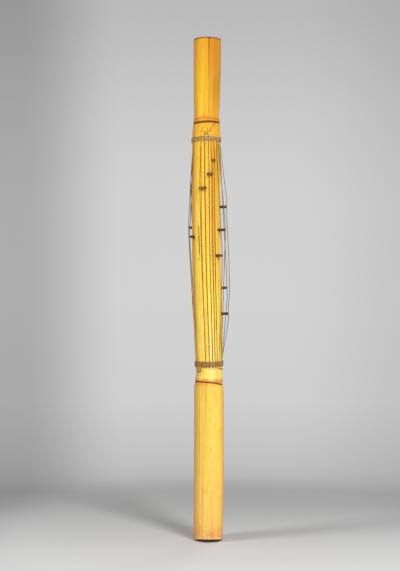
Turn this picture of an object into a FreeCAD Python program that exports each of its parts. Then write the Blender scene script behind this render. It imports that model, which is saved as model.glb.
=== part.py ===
import FreeCAD, Part
import math
import os

# A valiha, the tube zither cut from one length of bamboo, in millimetres.
# Z runs up the tube, -Y is the front and +X is the right seen from the front.
# Angles round the tube are in degrees from the front, growing towards +X.

# Tube
tubeLength = 1150.0
lowerNodeHeight = 360.0     # scar of the lower node, above the foot
upperNodeHeight = 959.0
tubeRadius = 33.0           # about the middle of the strings
chamberWall = 5.0
septum = 4.0                # the tube's own wall across each node
footBoreRadius = 28.5
headBoreRadius = 24.5
headBoreShift = -3.6        # sideways place of the upper hollow's axis

# Sound slit down the back
slitAngle = 186.0
slitWidth = 5.0
slitRise = 200.0            # above the lower node
slitLength = 260.0

# Strings, which are strips lifted from the tube's own skin
stripWidth = 1.6
stripThickness = 1.1
grooveSide = 0.3            # air on each side of a strip in its groove
grooveDepth = 1.2
seatGap = 0.05              # air under a strip in its groove
stripEndGap = 0.5           # air at each end of a strip
stripFootLength = 5.0       # strip showing below the lower binding
stripHeadLength = 9.0       # strip showing above the upper binding

# Bindings
cord = 2.2
cordPitch = 2.8
lowerTurns = 5
upperTurns = 4
lowerBindingRise = 37.4     # above the lower node, to the middle of the cord where the winding starts
upperBindingDrop = 46.1     # below the upper node, likewise
bindingGap = 0.15           # air between the cord and the tube
bindingMargin = 0.9         # a strip stays down this far past the cord
tailCord = 1.7
tailGap = 0.55              # air between a tail's corners and the tube
cornerShare = 0.45          # of the shorter run beside a corner, given to its arc
gapSamples = 48             # points on each turn when the air between turns is measured

# Bridges
bridgeLength = 6.6          # along the string
bridgeTravel = 12.0         # each way from rest
bridgeTop = 6.4             # width under one string
topRound = 1.4
footGap = 0.25              # air between a bridge and the tube
notchDepth = 0.8
notchSide = 0.3
notchFloor = 0.15
shoulder = 1.2              # wood outside the last notch of a shared bridge

# Stations of the tube: share of the stretch or millimetres from a scar, then radius and
# sideways lean as shares of tubeRadius
footStretch = [(0.0, 1.009, -0.030), (0.15, 1.024, -0.015), (0.41, 1.048, 0.030), (0.6, 1.042, 0.036),
               (0.95, 1.039, 0.030)]
lowerScar = [(-8.0, 1.021, 0.033), (-3.0, 0.988, 0.036), (0.0, 0.942, 0.036), (3.0, 0.964, 0.039),
             (8.0, 0.955, 0.039), (13.0, 0.924, 0.039), (24.0, 0.924, 0.042)]
stringStretch = [(0.087, 0.942, 0.024), (0.134, 0.976, 0.0), (0.202, 0.994, -0.030),
                 (0.317, 1.015, -0.079), (0.434, 1.006, -0.130), (0.549, 1.006, -0.161),
                 (0.664, 1.003, -0.173), (0.78, 0.997, -0.176), (0.895, 0.973, -0.173)]
upperScar = [(-21.0, 0.982, -0.152), (-7.0, 0.945, -0.136), (-2.0, 0.927, -0.136), (0.0, 0.906, -0.139),
             (3.0, 0.918, -0.142), (8.0, 0.900, -0.142), (17.0, 0.870, -0.142), (34.0, 0.903, -0.127)]
headStretch = [(0.32, 0.918, -0.121), (0.47, 0.930, -0.106), (0.61, 0.955, -0.094), (1.0, 0.958, -0.085)]

# Loose ends of the cord: angle, and height past the upper binding's top or the lower one's bottom
upperTail = [(-10.0, 0.9), (-1.5, 6.6), (8.0, 1.3)]
lowerLoop = [(-54.0, -0.9), (-55.0, -6.9), (-46.0, -10.4), (-38.0, -6.9), (-41.0, -0.9)]
lowerTail = [(40.0, -0.9), (54.0, -2.1), (66.0, -3.5), (80.0, -4.3)]

# Each string: its angle at the upper binding and at the lower binding
stringAngles = {
    "01": (-64.0, -58.5),
    "02": (-22.0, -14.4),
    "03": (-6.4, 1.8),
    "04": (9.1, 15.7),
    "05": (19.8, 27.0),
    "06": (30.5, 37.5),
    "07": (46.8, 53.0),
    "08": (60.0, 66.5),
    "09": (86.0, 76.0),
    "10": (100.0, 94.0),
    "11": (133.0, 132.0),
    "12": (151.0, 151.0),
    "13": (168.5, 168.5),
    "14": (212.0, 212.0),
    "15": (236.0, 236.0),
    "16": (256.0, 256.0),
}

# Each bridge: its share of the free string, the strings it carries, how far it lifts them,
# its foot's width
bridgePlaces = {
    "01": (0.567, ["01"], 9.0, 13.0),
    "02": (0.788, ["02", "03"], 7.0, 15.6),
    "03": (0.852, ["04", "05"], 7.0, 12.6),
    "04": (0.915, ["06"], 4.5, 12.5),
    "05": (0.479, ["07"], 12.5, 15.0),
    "06": (0.598, ["08"], 15.0, 14.0),
    "07": (0.706, ["09"], 14.0, 12.5),
    "08": (0.212, ["09"], 14.5, 12.5),
    "09": (0.330, ["10"], 12.6, 12.0),
    "10": (0.660, ["11"], 6.5, 12.0),
    "11": (0.486, ["12"], 13.0, 12.5),
    "12": (0.375, ["13"], 12.0, 12.0),
    "13": (0.717, ["14"], 10.0, 12.0),
    "14": (0.809, ["15"], 9.0, 11.5),
    "15": (0.612, ["16"], 8.0, 11.5),
}

# String 09 is slack and bows out between its two bridges: share of the free string, lift
slackBow = {"09": [(0.456, 18.2), (0.315, 18.4)]}

Vector = FreeCAD.Vector
lowerBindingStart = lowerNodeHeight + lowerBindingRise
upperBindingStart = upperNodeHeight - upperBindingDrop
lowerCordTop = lowerBindingStart + lowerTurns * cordPitch + cord / 2
upperCordTop = upperBindingStart + upperTurns * cordPitch + cord / 2
lowerExit = lowerCordTop + bindingMargin
upperExit = upperBindingStart - cord / 2 - bindingMargin
grooveBottom = lowerBindingStart - cord / 2 - stripFootLength
grooveTop = upperCordTop + stripHeadLength
flatHalf = bridgeTravel + bridgeLength / 2 + 0.7


def tubeStations():
    between = upperNodeHeight - lowerNodeHeight
    above = tubeLength - upperNodeHeight
    rows = [(lowerNodeHeight * share, radius, lean) for share, radius, lean in footStretch]
    rows += [(lowerNodeHeight + offset, radius, lean) for offset, radius, lean in lowerScar]
    rows += [(lowerNodeHeight + between * share, radius, lean) for share, radius, lean in stringStretch]
    rows += [(upperNodeHeight + offset, radius, lean) for offset, radius, lean in upperScar]
    rows += [(upperNodeHeight + above * share, radius, lean) for share, radius, lean in headStretch]
    return sorted((z, radius * tubeRadius, lean * tubeRadius) for z, radius, lean in rows)


stations = tubeStations()


def tubeAt(z):
    """Outer radius and sideways lean of the tube at a height."""
    for low, high in zip(stations, stations[1:]):
        if z <= high[0]:
            share = (z - low[0]) / (high[0] - low[0])
            return low[1] + share * (high[1] - low[1]), low[2] + share * (high[2] - low[2])
    return stations[-1][1], stations[-1][2]


def heightsBetween(bottom, top):
    inner = [row[0] for row in stations if bottom + 0.01 < row[0] < top - 0.01]
    return [bottom] + inner + [top]


def outward(angle):
    turn = math.radians(angle)
    return Vector(math.sin(turn), -math.cos(turn), 0)


def sideways(angle):
    turn = math.radians(angle)
    return Vector(math.cos(turn), math.sin(turn), 0)


def alongString(share):
    """Height at a share of the free string, from its lower end."""
    return lowerExit + share * (upperExit - lowerExit)


def tubeAxis(z):
    return Vector(tubeAt(z)[1], 0, z)


def stringAngle(name, z):
    top, bottom = stringAngles[name]
    share = (upperExit - z) / (upperExit - lowerExit)
    return top + share * (bottom - top)


def onSkin(angle, z, lift):
    """Point a given height above the skin."""
    return tubeAxis(z) + outward(angle) * (tubeAt(z)[0] + lift)


# Tube
def plainStack(bottom, top, inset=0.0):
    rings = []
    for z in heightsBetween(bottom, top):
        radius, lean = tubeAt(z)
        rings.append(Part.Wire([Part.makeCircle(radius - inset, Vector(lean, 0, z))]))
    return Part.makeLoft(rings, True, True)


def groovedRing(z):
    """Outline of the tube with a notch for every string."""
    radius = tubeAt(z)[0]
    centre = tubeAxis(z)
    half = stripWidth / 2 + grooveSide
    reach = math.sqrt(radius * radius - half * half)
    order = sorted(stringAngles, key=lambda name: stringAngle(name, z))
    notches = []
    for name in order:
        angle = stringAngle(name, z)
        out, side = outward(angle), sideways(angle)
        notches.append([centre + out * reach - side * half,
                        centre + out * (reach - grooveDepth) - side * half,
                        centre + out * (reach - grooveDepth) + side * half,
                        centre + out * reach + side * half])
    halfTurn = math.degrees(math.asin(half / radius))
    edges = []
    for index, notch in enumerate(notches):
        edges += [Part.makeLine(a, b) for a, b in zip(notch, notch[1:])]
        after = (index + 1) % len(notches)
        start = stringAngle(order[index], z) + halfTurn
        end = stringAngle(order[after], z) - halfTurn + (360 if after == 0 else 0)
        middle = centre + outward((start + end) / 2) * radius
        edges.append(Part.Arc(notch[3], middle, notches[after][0]).toShape())
    return Part.Wire(edges)


def makeTube():
    foot = plainStack(0, grooveBottom)
    grooved = Part.makeLoft([groovedRing(z) for z in heightsBetween(grooveBottom, grooveTop)], True, True)
    head = plainStack(grooveTop, tubeLength)
    body = grooved.fuse([foot, head])
    footHollow = Part.makeCylinder(footBoreRadius, lowerNodeHeight - septum / 2)
    headBottom = upperNodeHeight + septum / 2
    headPlace = Vector(headBoreShift, 0, headBottom)
    headHollow = Part.makeCylinder(headBoreRadius, tubeLength - headBottom, headPlace)
    chamber = plainStack(lowerNodeHeight + septum / 2, upperNodeHeight - septum / 2, chamberWall)
    slit = Part.makeBox(slitWidth, 3 * chamberWall, slitLength, Vector(-slitWidth / 2, 0, 0))
    slit.rotate(Vector(0, 0, 0), Vector(0, 0, 1), slitAngle)
    middle = lowerNodeHeight + slitRise + slitLength / 2
    radius = tubeAt(middle)[0]
    outer = tubeAxis(middle) + outward(slitAngle) * (radius + chamberWall)
    slit.translate(outer - Vector(0, 0, slitLength / 2))
    return body.cut([footHollow, headHollow, chamber, slit])


# Strings
def upperHull(points):
    """The taut line over a row of (height, distance) supports."""
    hull = []
    for point in sorted(points):
        while len(hull) > 1:
            (z0, r0), (z1, r1) = hull[-2], hull[-1]
            if (r1 - r0) * (point[0] - z0) > (point[1] - r0) * (z1 - z0):
                break
            hull.pop()
        hull.append(point)
    return hull


def reachAt(name, z, lift):
    """Distance along the string's own direction from the Z axis to a height above the skin."""
    radius, lean = tubeAt(z)
    return radius + lift + lean * math.sin(math.radians(stringAngle(name, z)))


def stringSupports(name):
    """Heights and distances of the string's underside, from its lower end to its upper end."""
    floor = seatGap - grooveDepth
    ownBridges = [row for row in bridgePlaces.values() if name in row[1]]
    raised = []
    for share, carried, lift, width in ownBridges:
        z = alongString(share)
        raised += [(z - flatHalf, reachAt(name, z - flatHalf, lift)),
                   (z + flatHalf, reachAt(name, z + flatHalf, lift))]
    for share, lift in slackBow.get(name, []):
        raised.append((alongString(share), reachAt(name, alongString(share), lift)))
    raised.sort()

    def seated(bottom, top):
        return [(z, reachAt(name, z, floor)) for z in heightsBetween(bottom, top)]

    below = upperHull(seated(lowerExit, raised[0][0])[:-1] + raised[:1])
    above = upperHull(raised[-1:] + seated(raised[-1][0], upperExit)[1:])
    supports = (seated(grooveBottom + stripEndGap, lowerExit)[:-1] + below + raised[1:-1] + above
                + seated(upperExit, grooveTop - stripEndGap)[1:])
    return withStations(supports)


def withStations(supports):
    """The same taut line with a place at every station of the tube, so that it keeps to its groove."""
    rows = [supports[0]]
    for (z0, r0), (z1, r1) in zip(supports, supports[1:]):
        for z in heightsBetween(z0, z1)[1:-1]:
            rows.append((z, r0 + (r1 - r0) * (z - z0) / (z1 - z0)))
        rows.append((z1, r1))
    return rows


def makeString(name):
    sections = []
    for z, reach in stringSupports(name):
        angle = stringAngle(name, z)
        out, side = outward(angle), sideways(angle)
        base = out * reach + side * tubeAt(z)[1] * math.cos(math.radians(angle)) + Vector(0, 0, z)
        left, right = base - side * (stripWidth / 2), base + side * (stripWidth / 2)
        lift = out * stripThickness
        sections.append(Part.makePolygon([left, right, right + lift, left + lift, left]))
    return Part.makeLoft(sections, True, True)


# Bridges
def bridgeFrame(z, carried):
    """Middle on the tube's axis, direction of travel, outward and sideways directions."""
    angle = sum(stringAngle(name, z) for name in carried) / len(carried)
    ends = []
    for end in (z - flatHalf, z + flatHalf):
        endAngle = sum(stringAngle(name, end) for name in carried) / len(carried)
        ends.append(onSkin(endAngle, end, 0))
    travel = (ends[1] - ends[0]).normalize()
    out = outward(angle)
    out = (out - travel * out.dot(travel)).normalize()
    return tubeAxis(z), travel, out, travel.cross(out).normalize()


def makeBridge(place):
    share, carried, lift, footWidth = place
    z = alongString(share)
    centre, travel, out, side = bridgeFrame(z, carried)
    radius = tubeAt(z)[0]
    footRadius = radius + footGap
    angles = [stringAngle(name, z) for name in carried]
    spread = (radius + lift) * math.sin(math.radians((max(angles) - min(angles)) / 2))
    shared = 2 * (spread + stripWidth / 2 + notchSide + shoulder)
    topHalf = (bridgeTop if len(carried) == 1 else shared) / 2
    footHalf = footWidth / 2
    topReach = radius + lift + notchDepth
    footReach = math.sqrt(footRadius * footRadius - footHalf * footHalf)
    back = centre - travel * (bridgeLength / 2)
    footLeft = back - side * footHalf + out * footReach
    footRight = back + side * footHalf + out * footReach
    topRight = back + side * topHalf + out * topReach
    topLeft = back - side * topHalf + out * topReach
    outline = [Part.Arc(footLeft, back + out * footRadius, footRight).toShape(),
               Part.makeLine(footRight, topRight),
               Part.makeLine(topRight, topLeft),
               Part.makeLine(topLeft, footLeft)]
    block = Part.Face(Part.Wire(outline)).extrude(travel * bridgeLength)
    corners = [edge for edge in block.Edges
               if min(edge.CenterOfMass.distanceToPoint(corner + travel * (bridgeLength / 2))
                      for corner in (topLeft, topRight)) < 0.01]
    block = block.makeFillet(topRound, corners)
    for name in carried:
        block = block.cut(notchTool(name, z, lift, travel))
    return block


def notchTool(name, z, lift, travel):
    """Slot that a string lies in, cut right through a bridge along its travel."""
    angle = stringAngle(name, z)
    out, side = outward(angle), sideways(angle)
    half = stripWidth / 2 + notchSide
    reach = reachAt(name, z, lift)
    middle = out * reach + side * tubeAt(z)[1] * math.cos(math.radians(angle)) + Vector(0, 0, z)
    start = middle - travel * bridgeLength - out * notchFloor
    left, right = start - side * half, start + side * half
    rise = out * (notchDepth + 2 * stripThickness)
    mouth = Part.makePolygon([left, right, right + rise, left + rise, left])
    return Part.Face(mouth).extrude(travel * (2 * bridgeLength))


# Bindings
def tangentArc(start, corner, end):
    """Arc from start to end whose end tangents meet at the corner."""
    chordMiddle = (start + end) * 0.5
    half = start.distanceToPoint(end) / 2
    height = corner.distanceToPoint(chordMiddle)
    rise = half * math.tan(math.atan2(height, half) / 2)
    middle = chordMiddle + (corner - chordMiddle) * (rise / height)
    return Part.Arc(start, middle, end).toShape()


def biarc(start, startWay, end, endWay):
    """Two arcs that join smoothly between two points with given directions."""
    gap = end - start
    ways = startWay + endWay
    a = 4 - ways.dot(ways)
    b = 2 * gap.dot(ways)
    c = -gap.dot(gap)
    length = (-b + math.sqrt(b * b - 4 * a * c)) / (2 * a)
    first, second = start + startWay * length, end - endWay * length
    joint = (first + second) * 0.5
    return [tangentArc(start, first, joint), tangentArc(joint, second, end)]


def sweepRound(edges, start, way, diameter):
    path = Part.Wire(edges)
    ring = Part.Wire([Part.makeCircle(diameter / 2, start, way)])
    pipe = Part.BRepOffsetAPI.MakePipeShell(path)
    pipe.add(ring)
    pipe.build()
    pipe.makeSolid()
    return pipe.shape()


def makeBinding(label, startHeight, turns):
    middle = startHeight + turns * cordPitch / 2
    widest = max(tubeAt(z)[0] for z in heightsBetween(startHeight, startHeight + turns * cordPitch))
    radius = widest + bindingGap + cord / 2
    lean = tubeAt(middle)[1]
    startAngle = 180.0

    def helixPoint(turn):
        return Vector(lean, 0, startHeight + turn * cordPitch) + outward(startAngle + 360 * turn) * radius

    def helixWay(turn):
        around = sideways(startAngle + 360 * turn) * (2 * math.pi * radius)
        return (around + Vector(0, 0, cordPitch)).normalize()

    edges = []
    for quarter in range(4 * turns):
        low, high = quarter / 4, (quarter + 1) / 4
        edges += biarc(helixPoint(low), helixWay(low), helixPoint(high), helixWay(high))
    first = helixPoint(0) - helixWay(0) * cord
    last = helixPoint(turns) + helixWay(turns) * cord
    edges = [Part.makeLine(first, helixPoint(0))] + edges + [Part.makeLine(helixPoint(turns), last)]
    solid = sweepRound(edges, first, helixWay(0), cord)
    reportGap(label, [helixPoint(step / gapSamples) for step in range(gapSamples * turns + 1)])
    return solid


def reportGap(label, points):
    """Least air between one turn of a winding and the rest of it."""
    least = min(points[i].distanceToPoint(points[j])
                for i in range(len(points)) for j in range(i + gapSamples // 2, len(points)))
    print(label, "least gap to itself", round(least - cord, 3), "mm")


def makeTail(edge, places):
    """Cord end that lies on the skin past a binding's edge, with rounded corners."""
    points = [onSkin(angle, edge + past, tailGap + tailCord / 2) for angle, past in places]
    edges = []
    here = points[0]
    for before, corner, after in zip(points, points[1:], points[2:]):
        cut = cornerShare * min(before.distanceToPoint(corner), corner.distanceToPoint(after))
        start = corner + (before - corner).normalize() * cut
        end = corner + (after - corner).normalize() * cut
        edges += [Part.makeLine(here, start), tangentArc(start, corner, end)]
        here = end
    edges.append(Part.makeLine(here, points[-1]))
    return sweepRound(edges, points[0], points[1] - points[0], tailCord)


def save(name, shape):
    if shape.ShapeType != "Solid" and len(shape.Solids) == 1:
        shape = shape.Solids[0]
    if not shape.isValid() or shape.Volume <= 0:
        raise RuntimeError(name + " is not a sound solid")
    shape.exportStep("parts/" + name + ".step")
    print(name, len(shape.Solids), "solid", round(shape.Volume, 1), "mm3")


save("tube", makeTube())
for name in stringAngles:
    save("string_" + name, makeString(name))
for name, place in bridgePlaces.items():
    save("bridge_" + name, makeBridge(place))
    travel = bridgeFrame(alongString(place[0]), place[1])[1]
    print("bridge_" + name, "travels along", [round(value, 5) for value in travel])
save("lower_binding", makeBinding("lower_binding", lowerBindingStart, lowerTurns))
save("upper_binding", makeBinding("upper_binding", upperBindingStart, upperTurns))
save("upper_tail", makeTail(upperCordTop, upperTail))
save("lower_loop", makeTail(lowerBindingStart - cord / 2, lowerLoop))
save("lower_tail", makeTail(lowerBindingStart - cord / 2, lowerTail))
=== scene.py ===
import math

import bmesh
import bpy
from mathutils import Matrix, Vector, noise


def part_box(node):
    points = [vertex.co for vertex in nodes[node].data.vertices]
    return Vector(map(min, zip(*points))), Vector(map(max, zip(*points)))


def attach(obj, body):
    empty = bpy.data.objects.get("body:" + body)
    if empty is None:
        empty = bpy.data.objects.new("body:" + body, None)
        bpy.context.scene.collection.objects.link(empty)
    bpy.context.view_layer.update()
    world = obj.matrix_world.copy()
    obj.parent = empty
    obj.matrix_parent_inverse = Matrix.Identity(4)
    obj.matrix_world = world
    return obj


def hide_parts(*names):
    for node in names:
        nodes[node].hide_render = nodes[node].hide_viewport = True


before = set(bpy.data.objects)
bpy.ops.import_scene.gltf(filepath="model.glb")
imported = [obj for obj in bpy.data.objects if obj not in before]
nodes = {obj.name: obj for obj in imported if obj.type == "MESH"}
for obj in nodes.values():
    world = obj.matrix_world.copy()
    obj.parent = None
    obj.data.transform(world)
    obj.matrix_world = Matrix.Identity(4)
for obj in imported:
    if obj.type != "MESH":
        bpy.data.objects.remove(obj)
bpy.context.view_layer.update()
mm = 0.001
print("frame:", len(nodes), "nodes")


# Sockets, graphs and colours

def colour(red, green, blue):
    def linear(value):
        share = value / 255
        return share / 12.92 if share <= 0.04045 else ((share + 0.055) / 1.055) ** 2.4
    return (linear(red), linear(green), linear(blue), 1.0)


def pick(sockets, key):
    if isinstance(key, int):
        return sockets[key]
    found = [s for s in sockets if s.identifier == key] or [s for s in sockets if s.name == key]
    return found[0]


class Value:  # one output of a node; sums and products of values add their Math nodes
    def __init__(self, graph, node, socket):
        self.graph = graph
        self.node = node
        self.socket = socket

    def output(self, key):
        return Value(self.graph, self.node, pick(self.node.outputs, key))

    def math(self, operation, *others):
        sockets = dict(enumerate((self,) + others))
        return self.graph.add("ShaderNodeMath", {"operation": operation}, sockets)

    def swapped(self, operation, other):
        return self.graph.add("ShaderNodeMath", {"operation": operation}, {0: other, 1: self})

    def __add__(self, other):
        return self.math("ADD", other)

    def __sub__(self, other):
        return self.math("SUBTRACT", other)

    def __mul__(self, other):
        return self.math("MULTIPLY", other)

    def __truediv__(self, other):
        return self.math("DIVIDE", other)

    def __radd__(self, other):
        return self.math("ADD", other)

    def __rmul__(self, other):
        return self.math("MULTIPLY", other)

    def __rsub__(self, other):
        return self.swapped("SUBTRACT", other)

    def __rtruediv__(self, other):
        return self.swapped("DIVIDE", other)

    def __neg__(self):
        return self.math("MULTIPLY", -1.0)

    def rise(self, low, high):  # 0 below low, 1 above high, smooth between
        return self.graph.add("ShaderNodeMapRange", {"interpolation_type": "SMOOTHSTEP"},
                              {"Value": self, "From Min": low, "From Max": high})

    def band(self, low, high, soft):
        return self.rise(low - soft, low + soft) * (1 - self.rise(high - soft, high + soft))

    def mix(self, first, second):  # this value as the factor between two colours
        return self.graph.add("ShaderNodeMix", {"data_type": "RGBA"},
                              {"Factor_Float": self, "A_Color": first, "B_Color": second}, "Result_Color")


class Graph:
    def __init__(self, tree):
        self.tree = tree

    def add(self, kind, settings=None, sockets=None, out=0):
        node = self.tree.nodes.new(kind)
        for name, value in (settings or {}).items():
            if name == "stops":
                ramp = node.color_ramp
                while len(ramp.elements) < len(value):
                    ramp.elements.new(1.0)
                for element, (place, shade) in zip(ramp.elements, value):
                    element.position = place
                    element.color = shade
            else:
                setattr(node, name, value)
        for key, value in (sockets or {}).items():
            socket = pick(node.inputs, key)
            if isinstance(value, Value):
                self.tree.links.new(value.socket, socket)
            else:
                socket.default_value = value
        return Value(self, node, pick(node.outputs, out))

    def noise(self, vector, scale, detail=3.0, roughness=0.5):
        return self.add("ShaderNodeTexNoise", None,
                        {"Vector": vector, "Scale": scale, "Detail": detail, "Roughness": roughness})

    def stretched(self, vector, scale):
        return self.add("ShaderNodeVectorMath", {"operation": "MULTIPLY"}, {0: vector, 1: scale})

    def grain(self, vector, scale, detail=3.0, roughness=0.5):  # noise with its own scale on each axis
        return self.noise(self.stretched(vector, scale), 1.0, detail, roughness)

    def scaled(self, vector, scale):
        return self.add("ShaderNodeVectorMath", {"operation": "SCALE"}, {"Vector": vector, "Scale": scale})

    def attribute(self, name):
        return self.add("ShaderNodeAttribute", {"attribute_name": name}, out="Fac")

    def swept(self, line, section):
        return self.add("GeometryNodeCurveToMesh", None,
                        {"Curve": line, "Profile Curve": section, "Fill Caps": True})

    def parts(self, vector):
        return self.add("ShaderNodeSeparateXYZ", None, {"Vector": vector})


def newMaterial(name):
    material = bpy.data.materials.new(name)
    material.use_nodes = True
    material.node_tree.nodes.clear()
    graph = Graph(material.node_tree)
    return material, graph, graph.add("ShaderNodeTexCoord", out="Object")


def finishMaterial(graph, base, roughness, height, bumpDistance, **plain):
    bump = graph.add("ShaderNodeBump", None, {"Strength": 1.0, "Distance": bumpDistance, "Height": height})
    sockets = {"Base Color": base, "Roughness": roughness, "Normal": bump}
    sockets.update(plain)
    shader = graph.add("ShaderNodeBsdfPrincipled", None, sockets)
    output = graph.tree.nodes.new("ShaderNodeOutputMaterial")
    graph.tree.links.new(shader.socket, output.inputs["Surface"])


def newTree(name, inputs):
    tree = bpy.data.node_groups.new(name, "GeometryNodeTree")
    tree.interface.new_socket("Geometry", in_out="INPUT", socket_type="NodeSocketGeometry")
    for label, (kind, value) in inputs.items():
        socket = tree.interface.new_socket(label, in_out="INPUT", socket_type="NodeSocket" + kind)
        if value is not None:
            socket.default_value = value
    tree.interface.new_socket("Geometry", in_out="OUTPUT", socket_type="NodeSocketGeometry")
    graph = Graph(tree)
    given = graph.add("NodeGroupInput")
    return tree, graph, given


def endTree(graph, geometry, material):
    real = graph.add("GeometryNodeRealizeInstances", None, {"Geometry": geometry})
    coated = graph.add("GeometryNodeSetMaterial", None, {"Geometry": real, "Material": material})
    output = graph.tree.nodes.new("NodeGroupOutput")
    graph.tree.links.new(coated.socket, output.inputs[0])


def grow(piece, tree, values):
    modifier = piece.modifiers.new(tree.name, "NODES")
    modifier.node_group = tree
    for item in tree.interface.items_tree:
        if item.item_type == "SOCKET" and item.in_out == "INPUT" and item.name in values:
            modifier[item.identifier] = values[item.name]
    bpy.context.view_layer.update()
    depsgraph = bpy.context.evaluated_depsgraph_get()
    result = bpy.data.meshes.new_from_object(
        piece.evaluated_get(depsgraph), preserve_all_data_layers=True, depsgraph=depsgraph)
    piece.modifiers.remove(modifier)
    piece.data = result
    result.name = piece.name
    return piece


def newPiece(name, mesh):
    piece = bpy.data.objects.new(name, mesh)
    bpy.context.scene.collection.objects.link(piece)
    return piece


# The shape of the tube, in mm

tubeForm = {
    "length": 1150.0,
    "radius": 33.0,
    "lowerNode": 360.0,
    "upperNode": 959.0,
    "wall": 5.0,
    "septum": 4.0,
    "footBore": 28.5,
    "headBore": 24.5,
    "headBoreShift": -3.6,
    "grooveBottom": 391.3,
    "grooveTop": 934.2,
    "grooveHalf": 1.1,
    "grooveDepth": 1.2,
    "lowerExit": 413.4,
    "upperExit": 910.9,
    "slitAngle": -174.0,
    "slitHalf": 2.5,
    "slitBottom": 560.0,
    "slitTop": 820.0,
}
# Share of the stretch or mm from the scar, then radius and lean as shares of the tube's radius
footStretch = [(0.0, 1.009, -0.030), (0.15, 1.024, -0.015), (0.41, 1.048, 0.030), (0.6, 1.042, 0.036),
               (0.95, 1.039, 0.030)]
lowerScar = [(-8.0, 1.021, 0.033), (-3.0, 0.988, 0.036), (0.0, 0.942, 0.036), (3.0, 0.964, 0.039),
             (8.0, 0.955, 0.039), (13.0, 0.924, 0.039), (24.0, 0.924, 0.042)]
stringStretch = [(0.087, 0.942, 0.024), (0.134, 0.976, 0.0), (0.202, 0.994, -0.030), (0.317, 1.015, -0.079),
                 (0.434, 1.006, -0.130), (0.549, 1.006, -0.161), (0.664, 1.003, -0.173),
                 (0.78, 0.997, -0.176), (0.895, 0.973, -0.173)]
upperScar = [(-21.0, 0.982, -0.152), (-7.0, 0.945, -0.136), (-2.0, 0.927, -0.136), (0.0, 0.906, -0.139),
             (3.0, 0.918, -0.142), (8.0, 0.900, -0.142), (17.0, 0.870, -0.142), (34.0, 0.903, -0.127)]
headStretch = [(0.32, 0.918, -0.121), (0.47, 0.930, -0.106), (0.61, 0.955, -0.094), (1.0, 0.958, -0.085)]
# Each string: its angle at the upper binding and at the lower one, in degrees from the front
stringAngles = {
    "01": (-64.0, -58.5), "02": (-22.0, -14.4), "03": (-6.4, 1.8), "04": (9.1, 15.7),
    "05": (19.8, 27.0), "06": (30.5, 37.5), "07": (46.8, 53.0), "08": (60.0, 66.5),
    "09": (86.0, 76.0), "10": (100.0, 94.0), "11": (133.0, 132.0), "12": (151.0, 151.0),
    "13": (168.5, 168.5), "14": (-148.0, -148.0), "15": (-124.0, -124.0), "16": (-104.0, -104.0),
}


def tubeStations():
    low, high = tubeForm["lowerNode"], tubeForm["upperNode"]
    rows = [(low * share, radius, lean) for share, radius, lean in footStretch]
    rows += [(low + offset, radius, lean) for offset, radius, lean in lowerScar]
    rows += [(low + (high - low) * share, radius, lean) for share, radius, lean in stringStretch]
    rows += [(high + offset, radius, lean) for offset, radius, lean in upperScar]
    above = tubeForm["length"] - high
    rows += [(high + above * share, radius, lean) for share, radius, lean in headStretch]
    return sorted((z, radius * tubeForm["radius"], lean * tubeForm["radius"]) for z, radius, lean in rows)


stations = tubeStations()
rootScars = (28.0, 53.0, -120.0, 150.0)    # angles of the bumps above the lower scar


def tubeAt(z):
    for low, high in zip(stations, stations[1:]):
        if z <= high[0]:
            share = max(0.0, (z - low[0]) / (high[0] - low[0]))
            return low[1] + share * (high[1] - low[1]), low[2] + share * (high[2] - low[2])
    return stations[-1][1], stations[-1][2]


def outward(angle):
    turn = math.radians(angle)
    return Vector((math.sin(turn), -math.cos(turn), 0))


def sideways(angle):
    turn = math.radians(angle)
    return Vector((math.cos(turn), math.sin(turn), 0))


def onSkin(angle, z, lift):
    radius, lean = tubeAt(z)
    return Vector((lean, 0, z)) + outward(angle) * (radius + lift)


def smooth(value, low, high):
    share = min(1.0, max(0.0, (value - low) / (high - low)))
    return share * share * (3 - 2 * share)


def hump(value, middle, width):
    return math.exp(-((value - middle) / width) ** 2)


def span(start, end, step):
    count = max(1, round((end - start) / step))
    return [start + (end - start) * index / count for index in range(count)]


# Tube: one closed skin with its grooves, scars, crack, bores, chamber and slit

skinLook = {
    "lowerScar": 364.0,        # height at the left of the front
    "lowerScarDrop": 7.8,      # it falls this far towards the right
    "upperScar": 956.7,
    "upperScarLift": 0.9,
    "scarDepth": 0.9,
    "crackTop": 6.7,           # angle of the crack in the head
    "crackEnd": 1056.0,
    "crackHalf": 0.8,
    "gashTop": 723.0,
    "gashBottom": 648.0,
    "footLift": 1.2,           # the worn edge under the left of the foot
    "gapShadeHeight": 7.8,         # height of the painted shadow, a black crescent along the front of the foot
    "columnStep": 3.3,
    "fibreDepth": 0.10,
    "swellDepth": 0.22,
    "chipDepth": 0.7,
}


def lowerScarDrop(angle):
    return skinLook["lowerScarDrop"] * smooth(angle, -25, 100) * (1 - smooth(angle, 110, 186))


def lowerScarHeight(angle):
    return skinLook["lowerScar"] - lowerScarDrop(angle) + 0.35 * math.sin(math.radians(angle) * 5)


def upperScarHeight(angle):
    turn = math.radians(angle)
    lift = skinLook["upperScarLift"]
    return skinLook["upperScar"] + lift * math.sin(turn) + 0.3 * math.sin(turn * 4 + 1)


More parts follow.
